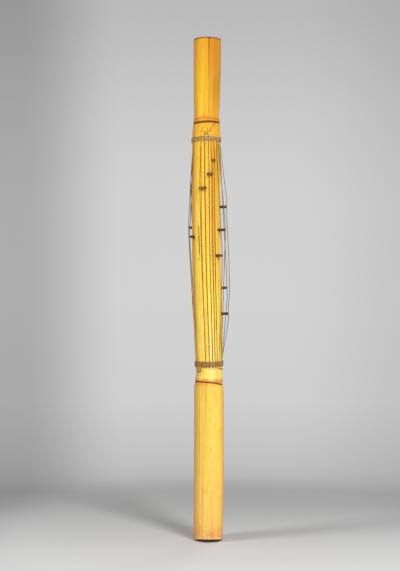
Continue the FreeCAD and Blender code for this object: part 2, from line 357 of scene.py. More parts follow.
def skinRadius(angle, z):
    shift = (lowerScarHeight(angle) - tubeForm["lowerNode"]) * (1 - smooth(abs(z - 362), 10, 30))
    shift += (upperScarHeight(angle) - tubeForm["upperNode"]) * (1 - smooth(abs(z - 958), 8, 24))
    radius = tubeAt(z - shift)[0]
    low, high = z - lowerScarHeight(angle), z - upperScarHeight(angle)
    radius -= skinLook["scarDepth"] * (hump(low, 0, 0.9) + hump(high, 0, 0.9))
    radius += 0.45 * hump(high, 3.6, 2.2) + 0.35 * hump(low, -3.2, 2.0) + 0.3 * hump(low, 4.0, 2.0)
    radius += 1.7 * hump(angle, -82, 4) * hump(low, 0.4, 1.7)    # spur at the left of the scar
    for place in rootScars:
        radius += 0.5 * hump(angle, place, 3) * hump(low, 9.0, 1.6)
    return radius


def scarShade(angle, z):
    low, high = z - lowerScarHeight(angle), z - upperScarHeight(angle)
    spur = hump(angle, -82, 5) * hump(low, 0.4, 1.8)
    roots = sum(hump(angle, place, 2.6) * hump(low, 9.0, 1.4) for place in rootScars)
    return min(1.0, hump(low, 0, 1.6) * 0.95 + hump(high, 0, 2.1) * 1.3 + spur + 0.55 * roots)


squareCut = [(-1.25, 0.0), (-1.03, 0.05), (-0.98, 1.0), (0.0, 1.0), (0.98, 1.0), (1.03, 0.05), (1.25, 0.0)]
veeCut = [(-1.7, 0.0), (-1.0, 0.06), (-0.45, 0.65), (0.0, 1.0), (0.45, 0.65), (1.0, 0.06), (1.7, 0.0)]


def grooveSeam(name):
    top, bottom = stringAngles[name]
    headDrift = {"03": 2.5, "04": 5.0}.get(name, 0.0)

    def angle(z):
        held = min(max(z, tubeForm["grooveBottom"]), tubeForm["grooveTop"])
        share = (tubeForm["upperExit"] - held) / (tubeForm["upperExit"] - tubeForm["lowerExit"])
        return top + share * (bottom - top) + headDrift * smooth(z, 945, 1045)

    def size(z):
        inside = tubeForm["grooveBottom"] <= z <= tubeForm["grooveTop"]
        return tubeForm["grooveHalf"], tubeForm["grooveDepth"] if inside else 0.0
    return {"angle": angle, "size": size, "cut": squareCut}


def crackSeam():
    def angle(z):
        share = (z - tubeForm["lowerExit"]) / (tubeForm["upperExit"] - tubeForm["lowerExit"])
        low = 8.8 + (1.4 - 8.8) * min(1.0, max(0.0, share))
        wander = 0.35 * noise.noise(Vector((0.0, 3.1, z * 0.05)))
        return low + (skinLook["crackTop"] - 1.4) * smooth(z, 945, 1045) + wander

    def size(z):
        open_ = smooth(z, skinLook["crackEnd"], tubeForm["length"])
        return 0.3 + (skinLook["crackHalf"] - 0.3) * open_, 2.6 * open_ + (0.5 if open_ > 0 else 0.0)
    return {"angle": angle, "size": size, "cut": veeCut}


def gashSeam():
    bottom, top = skinLook["gashBottom"], skinLook["gashTop"]

    def angle(z):
        share = min(1.0, max(0.0, (z - bottom) / (top - bottom)))
        return -28.2 - 5.0 * share + 0.6 * noise.noise(Vector((0.0, 7.7, z * 0.09)))

    def size(z):
        share = (z - bottom) / (top - bottom)
        if not 0.0 < share < 1.0:
            return 0.4, 0.0
        swell = math.sin(math.pi * share) ** 0.6
        return 0.45 + 1.6 * swell * (1.0 + 0.4 * noise.noise(Vector((0.0, 1.3, z * 0.12)))), 1.3 * swell
    return {"angle": angle, "size": size, "cut": veeCut}


def slitSeam():
    def size(z):
        return tubeForm["slitHalf"], 0.0
    flat = [(-1.25, 0.0), (-1.0, 0.0), (0.0, 0.0), (1.0, 0.0), (1.25, 0.0)]
    return {"angle": lambda z: tubeForm["slitAngle"], "size": size, "cut": flat}


def tubeRows():
    rows = [0.0, 1.0, 2.2, 3.8, 6.0, 8.5, 11.5, 15.0, 19.0]
    rows += span(24, 340, 8) + span(340, 378, 1) + span(378, 391, 2.2)
    rows += [391.2, 391.4] + span(393, 640, 6) + span(640, 726, 3) + span(726, 930, 6)
    rows += [930.0, 932.5, 934.1, 934.3] + span(936, 949, 2.2) + span(949, 976, 1) + span(976, 1140, 7)
    rows += [1140.0, 1144.5, 1147.5, 1149.2, 1149.75]
    rows += [tubeForm["slitBottom"], tubeForm["slitTop"]]
    kept = []
    for z in sorted(rows):
        if kept and z - kept[-1] < 0.15:
            continue
        kept.append(z)
    for edge in (tubeForm["slitBottom"], tubeForm["slitTop"]):
        kept = [z for z in kept if z == edge or abs(z - edge) > 1.5]
    return kept


def tubeColumns(seams):
    # each column is a seam's own point, or a share of the way between two seams
    columns = []
    for index, seam in enumerate(seams):
        columns += [("seam", index, step, 0) for step in range(len(seam["cut"]))]
        if index + 1 < len(seams):
            turn = seams[index + 1]["angle"](650) - seam["angle"](650)
        else:
            turn = seams[0]["angle"](650) + 360 - seam["angle"](650)
        count = max(0, round(math.radians(turn) * tubeForm["radius"] / skinLook["columnStep"]) - 1)
        columns += [("gap", index, step + 1, count + 1) for step in range(count)]
    return columns


def ringOf(seams, columns, z):
    # for every column its angle, the depth below the skin and how far down the cut it lies
    edges = []
    for seam in seams:
        middle = seam["angle"](z)
        half, depth = seam["size"](z)
        radius = skinRadius(middle, z)
        edges.append([(middle + math.degrees(math.asin(side * half / radius)), drop * depth,
                       drop if depth > 0 else 0.0, side * half) for side, drop in seam["cut"]])
    ring = []
    for kind, index, step, count in columns:
        if kind == "seam":
            angle, depth, cut, side = edges[index][step]
            middle = seams[index]["angle"](z)
            reach = math.sqrt(skinRadius(middle, z) ** 2 - side * side) - depth
            ring.append((angle, outward(middle) * reach + sideways(middle) * side, cut))
        else:
            start = edges[index][-1][0]
            after = edges[(index + 1) % len(seams)][0][0] + (360 if index + 1 == len(seams) else 0)
            angle = start + (after - start) * step / count
            ring.append((angle, outward(angle) * skinRadius(angle, z), 0.0))
    return ring


def footRim(angle):
    worn = smooth(angle, -95, -45) * (1 - smooth(angle, 0, 55))
    chips = max(0.0, noise.noise(Vector((angle * 0.06, 0.4, 2.0))) - 0.12)
    nick = 2.4 * hump(angle, 14.0, 2.6)
    return 0.1 + skinLook["footLift"] * worn + 2.4 * chips + nick


def unevenAt(angle, scale, place):
    turn = math.radians(angle)
    return noise.noise(Vector((math.sin(turn) * scale, math.cos(turn) * scale, place)))


def makeTubeMesh():
    slit = slitSeam()
    slitBottom, slitTop = tubeForm["slitBottom"], tubeForm["slitTop"]
    seams = [slit] + [grooveSeam(name) for name in ("14", "15", "16", "01")] + [gashSeam()]
    seams += [grooveSeam(name) for name in ("02", "03")] + [crackSeam()]
    seams += [grooveSeam(name) for name in ("04", "05", "06", "07", "08", "09", "10", "11", "12", "13")]
    columns = tubeColumns(seams)
    wide = len(columns)
    rows = tubeRows()
    verts, cuts, scars, turns = [], [], [], []

    def put(point, z, angle, cut, scar=0.0):
        verts.append((point.x * mm, point.y * mm, z * mm))
        cuts.append(cut)
        scars.append(scar)
        turns.append(angle)
        return len(verts) - 1

    def ringAt(radius, middle, z, cut):
        centre = Vector((middle, 0, 0))
        return [put(centre + outward(angle) * radius, z, angle, cut) for angle in bareAngles]

    outer = []
    for z in rows:
        ring = ringOf(seams, columns, z)
        lean = tubeAt(z)[1]
        level = []
        for angle, reach, cut in ring:
            height = z
            if z < 12:
                rim = footRim(angle)
                height = rim + z * (1 - rim / 12)
            rounding = 0.0
            if z > 1149:
                rounding = 0.5 if z > 1149.5 else 0.12
                height += 0.25 * unevenAt(angle, 4, 0)
            if z == 0:
                rounding = 0.5
            point = reach * (1 - rounding / reach.length) + Vector((lean, 0, 0))
            level.append(put(point, height, angle, cut, scarShade(angle, z)))
        outer.append(level)
    bareAngles = [angle for angle, reach, cut in ringOf(seams, columns, 200)]
    footAngles = [angle for angle, reach, cut in ringOf(seams, columns, 0)]

    faces = []

    def strip(lower, upper, skip=()):
        for j in range(wide):
            k = (j + 1) % wide
            if j not in skip:
                faces.append((lower[j], lower[k], upper[k], upper[j]))

    def cap(level, middle, z, up, cut=1.0):
        centre = put(Vector((middle, 0, 0)), z, 0.0, cut)
        for j in range(wide):
            k = (j + 1) % wide
            faces.append((level[j], level[k], centre) if up else (level[k], level[j], centre))

    slitColumns = (1, 2)
    for low, high, below, above in zip(rows, rows[1:], outer, outer[1:]):
        open_ = low >= slitBottom and high <= slitTop
        strip(below, above, slitColumns if open_ else ())

    half = tubeForm["septum"] / 2
    footEnd, headEnd = tubeForm["lowerNode"] - half, tubeForm["upperNode"] + half
    chamberLow, chamberHigh = tubeForm["lowerNode"] + half, tubeForm["upperNode"] - half
    footRadius, footLean = tubeAt(0)
    foot = [[put(Vector((footLean, 0, 0)) + outward(angle) * (footRadius - 2.3),
                 0.9 * footRim(angle), angle, 1.0) for angle in footAngles]]
    foot += [[put(outward(angle) * (tubeForm["footBore"] + 0.5), 0.7 * footRim(angle), angle, 1.0)
              for angle in bareAngles]]
    foot += [ringAt(tubeForm["footBore"], 0.0, z, 1.0) for z in (8, 60, 130, 200, 270, 320, 357.2)]
    foot += [ringAt(tubeForm["footBore"] - 0.8, 0.0, footEnd, 1.0)]
    strip(foot[0], outer[0])
    for near, far in zip(foot, foot[1:]):
        strip(far, near)
    cap(foot[-1], 0.0, footEnd, False)

    shift = tubeForm["headBoreShift"]
    top = tubeForm["length"]
    topRadius, topLean = tubeAt(top)
    head = [[put(Vector((topLean, 0, 0)) + outward(angle) * (topRadius - 1.3),
                 top + 0.3 * unevenAt(angle, 3, 1) - 0.3, angle, 1.0) for angle in bareAngles]]
    head += [ringAt(tubeForm["headBore"] + 0.5, shift, 1149.7, 1.0)]
    head += [ringAt(tubeForm["headBore"], shift, 1149.0, 1.0)]
    head += [ringAt(tubeForm["headBore"], shift, z, 1.0) for z in (1110, 1060, 1010, 975, 962)]
    head += [ringAt(tubeForm["headBore"] - 0.9, shift, headEnd, 1.0)]
    strip(outer[-1], head[0])
    for near, far in zip(head, head[1:]):
        strip(near, far)
    cap(head[-1], shift, headEnd, True)

    inner, innerRows = [], [chamberLow, 380.0, 400.0, 440.0, 480.0, 520.0]
    innerRows += [z for z in rows if slitBottom <= z <= slitTop]
    innerRows += [850.0, 880.0, 905.0, 930.0, 945.0, chamberHigh]
    for z in innerRows:
        radius, lean = tubeAt(z)
        inner.append(ringAt(radius - tubeForm["wall"], lean, z, 1.0))
    slitEdge = math.degrees(math.asin(tubeForm["slitHalf"] / 28.5))
    for z, level in zip(innerRows, inner):
        radius, lean = tubeAt(z)
        for j, side in ((1, -1.0), (3, 1.0)):
            angle = tubeForm["slitAngle"] + side * slitEdge
            point = Vector((lean, 0, 0)) + outward(angle) * (radius - tubeForm["wall"])
            verts[level[j]] = (point.x * mm, point.y * mm, z * mm)
    for low, high, below, above in zip(innerRows, innerRows[1:], inner, inner[1:]):
        open_ = low >= slitBottom and high <= slitTop
        for j in range(wide):
            k = (j + 1) % wide
            if not (open_ and j in slitColumns):
                faces.append((below[k], below[j], above[j], above[k]))
        if open_:
            i = rows.index(low)
            faces.append((outer[i][1], outer[i + 1][1], above[1], below[1])[::-1])
            faces.append((outer[i][3], outer[i + 1][3], above[3], below[3]))
    for edge, flip in ((slitBottom, False), (slitTop, True)):
        out, into = outer[rows.index(edge)], inner[innerRows.index(edge)]
        for j in slitColumns:
            face = (out[j], out[j + 1], into[j + 1], into[j])
            faces.append(face[::-1] if flip else face)
    cap(inner[0], tubeAt(chamberLow)[1], chamberLow, True)
    cap(inner[-1], tubeAt(chamberHigh)[1], chamberHigh, False)

    mesh = bpy.data.meshes.new("valiha_tube")
    mesh.from_pydata(verts, [], faces)
    for label, numbers in (("cut", cuts), ("scar", scars)):
        layer = mesh.attributes.new(label, "FLOAT", "POINT")
        layer.data.foreach_set("value", numbers)
    around = mesh.uv_layers.new(name="around")
    for polygon in mesh.polygons:
        degrees = [turns[v] for v in polygon.vertices]
        highest = max(degrees)
        for loop, vertex, turn in zip(polygon.loop_indices, polygon.vertices, degrees):
            wrapped = turn + 360 if highest - turn > 180 else turn
            around.data[loop].uv = (0.5 + wrapped / 360, verts[vertex][2] / (tubeForm["length"] * mm))
    work = bmesh.new()
    work.from_mesh(mesh)
    loose = [v for v in work.verts if not v.link_faces]
    bmesh.ops.delete(work, geom=loose, context="VERTS")
    openEdges = sum(1 for e in work.edges if not e.is_manifold)
    print("tube:", len(work.verts), "verts,", len(work.faces), "faces,", openEdges, "open edges, volume",
          round(work.calc_volume(signed=True) * 1e6, 1), "cm3")
    work.to_mesh(mesh)
    work.free()
    mesh.polygons.foreach_set("use_smooth", [True] * len(mesh.polygons))
    return mesh


def reliefTree():
    tree, graph, given = newTree("bambooRelief", {
        "Fibre Depth": ("Float", skinLook["fibreDepth"]), "Swell Depth": ("Float", skinLook["swellDepth"]),
        "Chip Depth": ("Float", skinLook["chipDepth"]), "Seed": ("Float", 3.0),
        "Material": ("Material", None)})
    place = graph.add("GeometryNodeInputPosition")
    parts = graph.parts(place)
    height = parts.output("Z")
    cut = graph.add("GeometryNodeInputNamedAttribute", {"data_type": "FLOAT"}, {"Name": "cut"})
    skin = 1 - cut.rise(0.02, 0.2)

    def noiseAt(scale, strength, detail):
        found = graph.add("ShaderNodeTexNoise", {"noise_dimensions": "4D"},
                          {"Vector": graph.stretched(place, scale), "W": given.output("Seed"),
                           "Scale": 1.0, "Detail": detail, "Roughness": 0.55})
        return (found - 0.5) * strength * 0.002

    fibres = noiseAt((420.0, 420.0, 9.0), given.output("Fibre Depth"), 2.0)
    swell = noiseAt((45.0, 45.0, 14.0), given.output("Swell Depth"), 1.0)
    nearFoot = 1 - height.rise(0.004, 0.03)
    chips = noiseAt((160.0, 160.0, 190.0), given.output("Chip Depth"), 3.0) * nearFoot
    flat = graph.add("ShaderNodeCombineXYZ", None,
                     {"X": parts.output("X"), "Y": parts.output("Y"), "Z": 0.0})
    way = graph.add("ShaderNodeVectorMath", {"operation": "NORMALIZE"}, {0: flat})
    push = (fibres + swell + chips) * skin
    offset = graph.scaled(way, push)
    moved = graph.add("GeometryNodeSetPosition", None, {"Geometry": given, "Offset": offset})
    endTree(graph, moved, given.output("Material"))
    return tree


skinColours = {
    # height in mm and the skin's colour there
    "stops": [
        (0, (232, 176, 98)), (22, (238, 184, 96)), (60, (243, 194, 94)), (200, (244, 204, 88)),
        (345, (243, 202, 84)), (357, (236, 184, 76)), (364, (206, 132, 48)), (371, (226, 164, 66)),
        (374, (252, 218, 104)), (394, (252, 220, 108)), (420, (250, 218, 96)), (600, (248, 212, 84)),
        (760, (245, 204, 76)), (925, (236, 186, 56)), (950, (226, 170, 44)), (960, (206, 136, 40)),
        (967, (214, 146, 42)), (976, (232, 182, 42)), (1020, (228, 178, 38)), (1075, (222, 166, 33)),
        (1150, (214, 146, 30)),
    ],
    "streak": (206, 142, 44),
    "pale": (254, 228, 126),
    "green": (226, 206, 84),
    "rightSide": (202, 124, 24),
    "headSide": (172, 112, 18),
    "headMiddle": (226, 190, 34),
    "flame": (226, 132, 30),
    # colour of the painted shade at the tube's edges
    "edgeShade": (206, 126, 46),
    "blotch": (204, 146, 52),
    "crackSide": (196, 122, 34),
    "scar": (84, 40, 8),
    "flesh": (196, 150, 84),
    "groove": (204, 152, 50),
    "speck": (120, 66, 20),
    "glint": (254, 240, 178),
    "lowerRight": (184, 138, 56),
    # colour of the painted shade among the strings at the upper right
    "upperRightShade": (128, 82, 22),
    "footRed": (224, 142, 76),
    "footBrown": (186, 124, 56),
    "footPale": (250, 222, 172),
    "broken": (250, 214, 166),    # bare bamboo above the painted shadow
    # black of the painted shadow in the gap under the front of the foot
    "gapShade": (26, 15, 8),
}
shades = {name: colour(*rgb) for name, rgb in skinColours.items() if name != "stops"}


# Fine crack lines in the skin and lines of painted shade: start and end as mm round the skin and height,
# then half the width
hairlinesAndShadeLines = [
    (21.5, 956.0, 12.0, 945.0, 0.8), (12.0, 945.0, 3.4, 929.0, 0.8),
    (-9.0, 946.0, -9.4, 932.0, 0.6), (3.0, 943.0, 2.6, 931.0, 0.6),
    (-5.0, 937.0, -2.4, 929.0, 0.9), (-14.0, 938.0, -10.0, 930.0, 0.6),
    # painted shade: two arcs along the ridge above the upper scar
    (-42.0, 962.0, -9.0, 967.4, 0.5), (-9.0, 967.4, 42.0, 962.4, 0.5),
    # the last four entries are painted shade in open grooves
    (-15.6, 646.5, -15.2, 640.5, 1.1), (18.4, 507.0, 18.9, 483.0, 1.2),
    (27.2, 463.0, 27.5, 431.0, 0.9), (0.4, 470.0, 0.6, 457.0, 0.8), (8.0, 450.0, 8.2, 437.0, 0.7),
]


def tubeSkin():
    material, graph, place = newMaterial("bambooSkin")
    parts = graph.parts(place)
    height = parts.output("Z") * 1000.0
    unrolled = graph.add("ShaderNodeUVMap", {"uv_map": "around"})
    turn = (graph.parts(unrolled) - 0.5) * 360.0
    cut = graph.attribute("cut")
    scar = graph.attribute("scar")

    fine = graph.grain(place, (1100.0, 1100.0, 10.0), 3.0, 0.6)
    streaks = graph.grain(place, (260.0, 260.0, 3.2), 3.0, 0.55)
    broad = graph.grain(place, (70.0, 70.0, 5.0), 2.0)
    cloud = graph.grain(place, (60.0, 60.0, 26.0), 3.0, 0.6)
    grit = graph.grain(place, (520.0, 520.0, 420.0), 3.0, 0.6)

    top = tubeForm["length"]
    stops = [(z / top, colour(*shade)) for z, shade in skinColours["stops"]]
    base = graph.add("ShaderNodeValToRGB", {"stops": stops}, {"Fac": height / top + (cloud - 0.5) * 0.012})
    headStreaks = height.rise(950, 990) * 0.2
    blotch = graph.grain(place, (85.0, 85.0, 34.0), 4.0, 0.6)
    mottle = graph.grain(place, (300.0, 300.0, 190.0), 3.0, 0.65)
    rough = 1 - height.rise(10, 46)
    facing = (turn * (math.pi / 180)).math("COSINE")
    # painted shadow under the foot: highest where the skin faces the front
    crescent = facing * skinLook["gapShadeHeight"] + (grit - 0.5) * 3.5
    # where each coat lies, how strong it is, and its colour; later ones lie over earlier ones
    coats = [
        (streaks.rise(0.46, 0.68), headStreaks + 0.38, "streak"),
        (1 - streaks.rise(0.30, 0.47), 0.3, "pale"),
        (broad.rise(0.5, 0.7) * height.band(390, 900, 60), 0.36, "green"),
        (turn.band(0, 20, 9) * height.band(366, 500, 30) * streaks.rise(0.35, 0.6), 0.55, "glint"),
        (fine.rise(0.5, 0.8), 0.16, "streak"),
        (turn.band(10, 140, 34) * height.rise(560, 760), 0.36, "rightSide"),
        (turn.band(56, 140, 14) * height.band(400, 620, 40), 0.45, "lowerRight"),
        # painted shade on the skin among the strings at the upper right
        (turn.band(40, 140, 16) * height.band(830, 930, 40), 0.24, "upperRightShade"),
        (turn.band(12, 136, 40) * height.rise(940, 1040), 0.7, "headSide"),
        (turn.band(-44, -8, 16) * height.rise(945, 1000) * cloud.rise(0.3, 0.6), 0.42, "headMiddle"),
        (cloud.rise(0.5, 0.68) * height.rise(1040, 1120), 0.5, "flame"),
        # painted shade along the tube's edges: at the left, and at the right below the lower node
        (turn.band(-150, -54, 20), 0.6, "edgeShade"),
        (turn.band(58, 130, 14) * (1 - height.rise(330, 370)), 0.45, "edgeShade"),
        (blotch.rise(0.50, 0.66), 0.24, "blotch"),
        (turn.rise(6.2, 7.2) * (1 - turn.rise(70, 110)) * height.rise(1040, 1140), 0.3, "crackSide"),
        ((height + (cloud - 0.5) * 5.0).rise(1145.2, 1147.6), 0.85, "speck"),
        (rough * cloud.rise(0.42, 0.62), 0.6, "footRed"),
        (rough * mottle.rise(0.54, 0.64), 0.45, "footBrown"),
        (rough * (1 - mottle.rise(0.36, 0.45)), 0.5, "footPale"),
        (rough * grit.rise(0.58, 0.65), 0.85, "speck"),
        ((height - crescent).band(0.4, 2.6, 0.8) * cloud.rise(0.36, 0.5), 0.6, "broken"),
        # painted shadow: the black crescent of the gap under the lifted front of the foot
        (1 - (height - crescent).rise(-0.7, 0.7), 0.95, "gapShade"),
    ]
    for mask, strength, shade in coats:
        base = (mask * strength).mix(base, shades[shade])

    across = turn * 0.524 + (grit - 0.5) * 1.0     # mm round the skin

    def lineFrom(x0, z0, x1, z1, half):
        length = math.hypot(x1 - x0, z1 - z0)
        wayX, wayZ = (x1 - x0) / length, (z1 - z0) / length
        away = (across - x0) * wayZ - (height - z0) * wayX
        along = (across - x0) * wayX + (height - z0) * wayZ
        near = 1 - away.math("ABSOLUTE").rise(half * 0.5, half * 1.3)
        return near * along.band(1.0, length - 1.0, 1.0)

    cracksAndShadeLines = lineFrom(*hairlinesAndShadeLines[0])
    for line in hairlinesAndShadeLines[1:]:
        cracksAndShadeLines = cracksAndShadeLines.math("MAXIMUM", lineFrom(*line))
    # crack lines and lines of painted shade, drawn in the scar colour
    base = (cracksAndShadeLines * 0.8).mix(base, shades["scar"])
    base = (scar.rise(0.12, 0.8) * 0.92).mix(base, shades["scar"])

    flesh = (fine * 0.8 + cloud * 0.4).rise(0.3, 0.9).mix(shades["flesh"], colour(166, 118, 58))
    flesh = height.band(391, 935, 2).mix(flesh, shades["groove"])
    gash = turn.band(-37, -24, 1) * height.band(646, 725, 1)
    flesh = gash.mix(flesh, fine.rise(0.4, 0.6).mix(colour(184, 118, 44), colour(140, 84, 28)))
    split = turn.band(3, 11, 1) * height.band(1040, 1148.8, 0.5)
    flesh = split.mix(flesh, colour(92, 48, 12))
    base = cut.rise(0.05, 0.5).mix(base, flesh)

    roughness = 0.40 + (fine - 0.5) * 0.2 + (cloud - 0.5) * 0.15 + cut * 0.3 + scar * 0.3 + rough * 0.2
    relief = fine * 0.12 + streaks * 0.5 + grit * 0.4 * rough + grit * 0.03 - cracksAndShadeLines * 1.2
    finishMaterial(graph, base, roughness, relief, 0.0004, **{"Specular IOR Level": 0.35})
    return material


skinMaterial = tubeSkin()
tube = newPiece("valiha_tube", makeTubeMesh())
grow(tube, reliefTree(), {"Material": skinMaterial})
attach(tube, "root")
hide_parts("tube")
print("tube done")


# Strings: strips of the tube's own skin

stringLook = {
    "width": 1.6,
    "thickness": 1.12,
    "corner": 0.3,
    "step": 3.0,
    "ragged": 0.05,
}


def lineOf(graph, given):
    line = graph.add("GeometryNodeMeshToCurve", None, {"Mesh": given})
    line = graph.add("GeometryNodeResampleCurve", {"mode": "LENGTH"},
                     {"Curve": line, "Length": given.output("Step")})
    facing = graph.add("GeometryNodeInputNamedAttribute", {"data_type": "FLOAT_VECTOR"},
                       {"Name": "outward"})
    return graph.add("GeometryNodeSetCurveNormal", {"mode": "FREE"}, {"Curve": line, "Normal": facing})


def pathPiece(name, points):
    # a chain of edges through points in mm, each with the way out of the tube there
    mesh = bpy.data.meshes.new(name)
    edges = [(i, i + 1) for i in range(len(points) - 1)]
    mesh.from_pydata([tuple(p * mm) for p in points], edges, [])
    facing = mesh.attributes.new("outward", "FLOAT_VECTOR", "POINT")
    for item, point in zip(facing.data, points):
        item.vector = Vector((point.x - tubeAt(point.z)[1], point.y, 0)).normalized()
    return newPiece(name, mesh)


def stripTree():
    tree, graph, given = newTree("skinStrip", {
        "Width": ("Float", 0.0016), "Thickness": ("Float", 0.0011), "Corner": ("Float", 0.0003),
        "Step": ("Float", 0.003), "Ragged": ("Float", 0.0001), "Seed": ("Float", 0.0),
        "Material": ("Material", None)})
    line = lineOf(graph, given)
    section = graph.add("GeometryNodeCurvePrimitiveQuadrilateral", None,
                        {"Width": given.output("Thickness"), "Height": given.output("Width")})
    section = graph.add("GeometryNodeFilletCurve", {"mode": "POLY"},
                        {"Curve": section, "Count": 1, "Radius": given.output("Corner")})
    strip = graph.swept(line, section)
    place = graph.add("GeometryNodeInputPosition")
    wander = graph.add("ShaderNodeTexNoise", {"noise_dimensions": "4D"},
                       {"Vector": graph.stretched(place, (500.0, 500.0, 90.0)),
                        "W": given.output("Seed"), "Scale": 1.0, "Detail": 2.0})
    normal = graph.add("GeometryNodeInputNormal")
    push = graph.scaled(normal, (wander - 0.5) * given.output("Ragged") * 2.0)
    strip = graph.add("GeometryNodeSetPosition", None, {"Geometry": strip, "Offset": push})
    strip = graph.add("GeometryNodeSetShadeSmooth", None, {"Geometry": strip, "Shade Smooth": True})
    endTree(graph, strip, given.output("Material"))
    return tree


def pathOf(name):
    # the middle of the solid strip at each height where it has corners
    levels = {}
    for vertex in nodes[name].data.vertices:
        levels.setdefault(round(vertex.co.z, 5), set()).add(tuple(round(c, 6) for c in vertex.co))
    path = []
    for z in sorted(levels):
        corners = [Vector(corner) for corner in levels[z]]
        path.append(sum(corners, Vector()) / len(corners) / mm)
    return path


def stringStrip():
    material, graph, place = newMaterial("stringStrip")
    across = graph.parts(place)
    height = across.output("Z") * 1000.0
    fibre = graph.grain(place, (1600.0, 1600.0, 30.0), 3.0, 0.6)
    worn = graph.grain(place, (90.0, 90.0, 14.0), 3.0)
    base = fibre.rise(0.3, 0.75).mix(colour(152, 102, 26), colour(108, 70, 14))
    base = (worn.rise(0.5, 0.7) * 0.4).mix(base, colour(198, 148, 54))
    # painted shade on the strings out at the tube's left and right sides
    sideShade = across.math("ABSOLUTE")
    base = (sideShade.rise(0.031, 0.037) * 0.75).mix(base, colour(60, 44, 20))
    # painted shade on the strings at the upper right
    upperRightShade = across.rise(0.004, 0.012) * (1 - across.rise(0.027, 0.031)) * height.rise(700, 840)
    base = (upperRightShade * 0.6).mix(base, colour(88, 50, 8))
    ends = 1 - height.band(398, 926, 3)
    base = (ends * 0.85).mix(base, colour(238, 196, 84))
    finishMaterial(graph, base, 0.45 + fibre * 0.2, fibre, 0.0003)
    return material


stringMaterial = stringStrip()
stripGrow = stripTree()
for index, name in enumerate(sorted(stringAngles)):
    piece = pathPiece("strip_" + name, pathOf("string_" + name))
    sizes = {label.title(): size * mm for label, size in stringLook.items()}
    grow(piece, stripGrow, {**sizes, "Seed": float(index), "Material": stringMaterial})
    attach(piece, "root")
    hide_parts("string_" + name)
    piece.visible_shadow = False    # shadows this thin mostly come out as specks
print("strings done")


# Bridges: small whittled blocks of wood

bridgeLook = {
    "bevel": 1.1,
    "net": 0.45,
    "carving": 0.7,
    "waist": 0.16,
    "leastCarved": 0.12,
    "greyTones": {6: 0.75, 9: 0.8, 14: 0.6, 15: 0.6},    # bridges of greyer wood
    "plainTone": 0.3,
}


def bridgeWood():
    material, graph, place = newMaterial("bridgeWood")
    across = graph.attribute("across")
    tone = graph.attribute("tone")
    grain = graph.grain(place, (700.0, 700.0, 1500.0), 3.0, 0.6)
    patch = graph.noise(place, 260.0, 2.0)
    figure = (grain * 0.7 + patch * 0.5).rise(0.4, 0.8)
    brown = figure.mix(colour(170, 108, 52), colour(104, 62, 26))
    base = tone.rise(0.45, 0.65).mix(brown, figure.mix(colour(122, 98, 68), colour(62, 46, 30)))
    # painted shade towards both ends of each bridge
    endShade = across.math("ABSOLUTE") + (patch - 0.5) * 0.8
    base = (endShade.rise(0.35, 0.8) * 0.85).mix(base, colour(46, 28, 16))
    finishMaterial(graph, base, 0.55 + grain * 0.2, grain + patch, 0.0004)
    return material


bridgeMaterial = bridgeWood()
for index in range(1, 16):
    name = f"bridge_{index:02d}"
    work = bmesh.new()
    work.from_mesh(nodes[name].data)
    bmesh.ops.remove_doubles(work, verts=work.verts, dist=1e-6)
    bmesh.ops.dissolve_limit(work, angle_limit=math.radians(4), verts=work.verts, edges=work.edges)
    mesh = bpy.data.meshes.new("carved_" + name)
    work.to_mesh(mesh)
    work.free()
    piece = newPiece("carved_" + name, mesh)
    bevel = piece.modifiers.new("edges", "BEVEL")
    bevel.width = bridgeLook["bevel"] * mm
    bevel.segments = 3
    bevel.limit_method = "ANGLE"
    bevel.angle_limit = math.radians(50)
    bevel.use_clamp_overlap = True
    net = piece.modifiers.new("net", "REMESH")
    net.mode = "VOXEL"
    net.voxel_size = bridgeLook["net"] * mm
    bpy.context.view_layer.update()
    depsgraph = bpy.context.evaluated_depsgraph_get()
    piece.data = bpy.data.meshes.new_from_object(piece.evaluated_get(depsgraph), depsgraph=depsgraph)
    piece.modifiers.clear()
    low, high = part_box(name)
    middle = (Vector(low) + Vector(high)) / 2
    turn = math.atan2(middle.x - tubeAt(middle.z / mm)[1] * mm, -middle.y)
    side = sideways(math.degrees(turn))
    reach = max(abs((v.co - middle).dot(side)) for v in piece.data.vertices)
    acrossLayer = piece.data.attributes.new("across", "FLOAT", "POINT")
    toneLayer = piece.data.attributes.new("tone", "FLOAT", "POINT")
    tone = bridgeLook["greyTones"].get(index, bridgeLook["plainTone"])
    for vertex, a, t in zip(piece.data.vertices, acrossLayer.data, toneLayer.data):
        a.value = (vertex.co - middle).dot(side) / reach
        t.value = tone
        uneven = noise.noise(vertex.co * 420 + Vector((index * 2.3, 0, 0)))
        lump = min(-bridgeLook["leastCarved"], uneven - 0.3)
        vertex.co += vertex.normal * lump * bridgeLook["carving"] * mm
        lift = vertex.co.z - middle.z
        vertex.co.z -= lift * bridgeLook["waist"] * (1 - hump(a.value, 0.35 * math.sin(index * 2.1), 0.6))
    for polygon in piece.data.polygons:
        polygon.use_smooth = True
    piece.data.materials.clear()
    piece.data.materials.append(bridgeMaterial)
    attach(piece, name + "_body")
    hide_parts(name)
print("bridges done")


# Bindings and loose ends: cord laid from twisted plies

bindingLook = {
    "pitch": 2.8,
    "cord": 2.2,
    "gap": 0.15,
    "lower": {"start": 397.4, "turns": 5, "plies": 3, "twist": 11.0, "hairs": 1.0},
    "upper": {"start": 912.9, "turns": 4, "plies": 2, "twist": 17.0, "hairs": 0.5},
    "tailCord": 1.7,
    "tailGap": 0.55,
    "upperTail": [(-10.0, 0.9), (-1.5, 6.6), (8.0, 1.3)],
    "lowerLoop": [(-54.0, -0.9), (-55.0, -6.9), (-46.0, -10.4), (-38.0, -6.9), (-41.0, -0.9)],
    "lowerTail": [(40.0, -0.9), (54.0, -2.1), (66.0, -3.5), (80.0, -4.3)],
}


